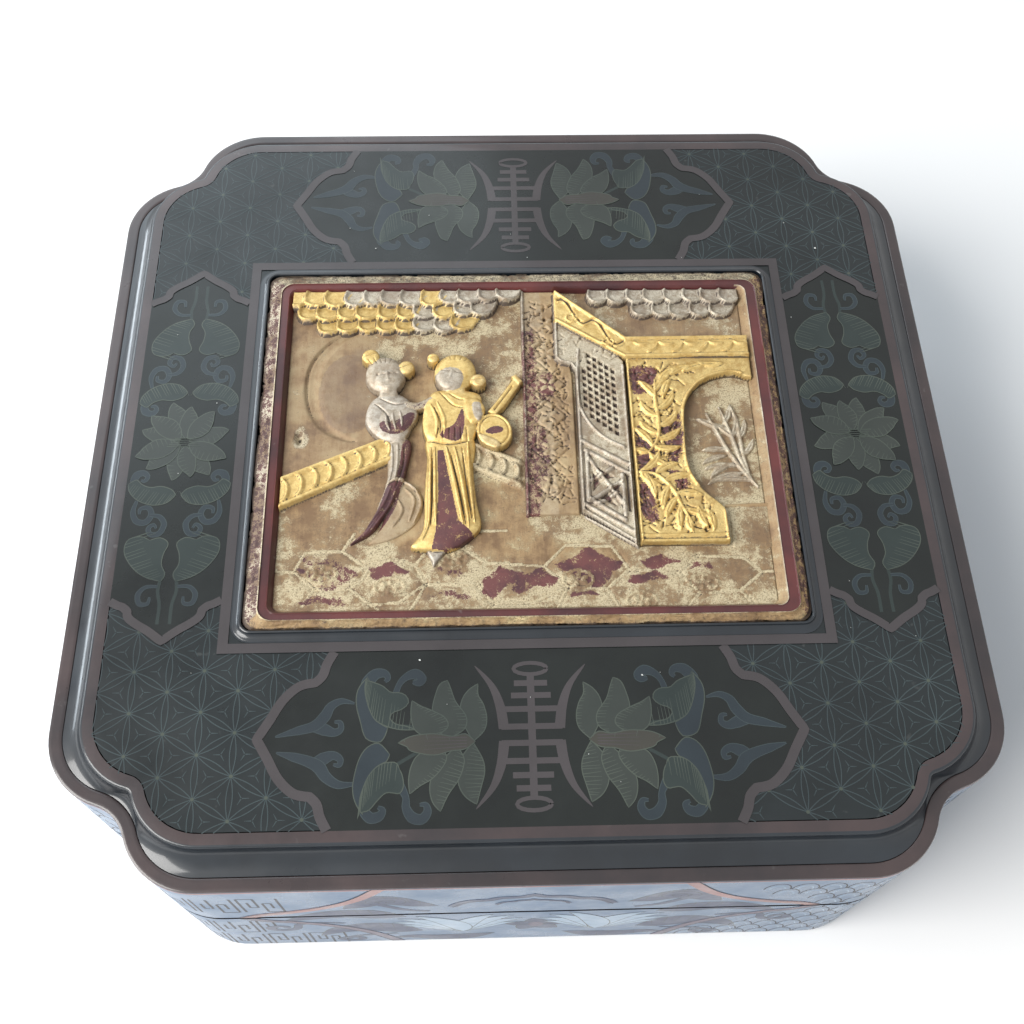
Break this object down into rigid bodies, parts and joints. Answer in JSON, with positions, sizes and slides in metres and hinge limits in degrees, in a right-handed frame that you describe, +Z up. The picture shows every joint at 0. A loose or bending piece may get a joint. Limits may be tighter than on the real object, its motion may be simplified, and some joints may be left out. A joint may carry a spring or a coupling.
{
  "type": "lacquer box",
  "caption": "Square lacquered wooden box with notched corners, incised flower decoration and a lift-off lid that carries a gilt relief panel",
  "frame": {"origin": "middle of the underside of the base, on the surface the box stands on", "axes": "+Z up through the lid, +X to the viewer's right, -Y is the front, which faces the foot of the carved scene"},
  "size_m": [0.3, 0.3, 0.1091],
  "materials": {
    "wall_lacquer": "gloss",
    "field_lacquer": "gloss",
    "rim_lacquer": "gloss",
    "lining_lacquer": "satin",
    "worn_gilding": "worn gilt"
  },
  "bodies": {
    "base": {"base_floor": "lining_lacquer", "base_wall_front": "wall_lacquer", "base_wall_back": "wall_lacquer", "base_wall_left": "wall_lacquer", "base_wall_right": "wall_lacquer", "base_wall_corner_front_right": "wall_lacquer", "base_wall_corner_front_left": "wall_lacquer", "base_wall_corner_back_right": "wall_lacquer", "base_wall_corner_back_left": "wall_lacquer", "base_lip_front": "lining_lacquer", "base_lip_back": "lining_lacquer", "base_lip_left": "lining_lacquer", "base_lip_right": "lining_lacquer", "base_lip_corner_front_right": "lining_lacquer", "base_lip_corner_front_left": "lining_lacquer", "base_lip_corner_back_right": "lining_lacquer", "base_lip_corner_back_left": "lining_lacquer"},
    "lid": {"lid_skirt_front": "wall_lacquer", "lid_skirt_back": "wall_lacquer", "lid_skirt_left": "wall_lacquer", "lid_skirt_right": "wall_lacquer", "lid_skirt_corner_front_right": "wall_lacquer", "lid_skirt_corner_front_left": "wall_lacquer", "lid_skirt_corner_back_right": "wall_lacquer", "lid_skirt_corner_back_left": "wall_lacquer", "lid_cornice_front": "rim_lacquer", "lid_cornice_back": "rim_lacquer", "lid_cornice_left": "rim_lacquer", "lid_cornice_right": "rim_lacquer", "lid_cornice_corner_front_right": "rim_lacquer", "lid_cornice_corner_front_left": "rim_lacquer", "lid_cornice_corner_back_right": "rim_lacquer", "lid_cornice_corner_back_left": "rim_lacquer", "lid_top_board": "field_lacquer", "lid_panel_strip_front": "field_lacquer", "lid_panel_strip_back": "field_lacquer", "lid_panel_strip_left": "field_lacquer", "lid_panel_strip_right": "field_lacquer", "lid_carved_panel": "worn_gilding"}
  },
  "joints": [
    {"name": "lid_lift", "type": "slide", "parent": "base", "child": "lid", "axis": [0, 0, 1], "range_m": [0, 0.12]}
  ]
}
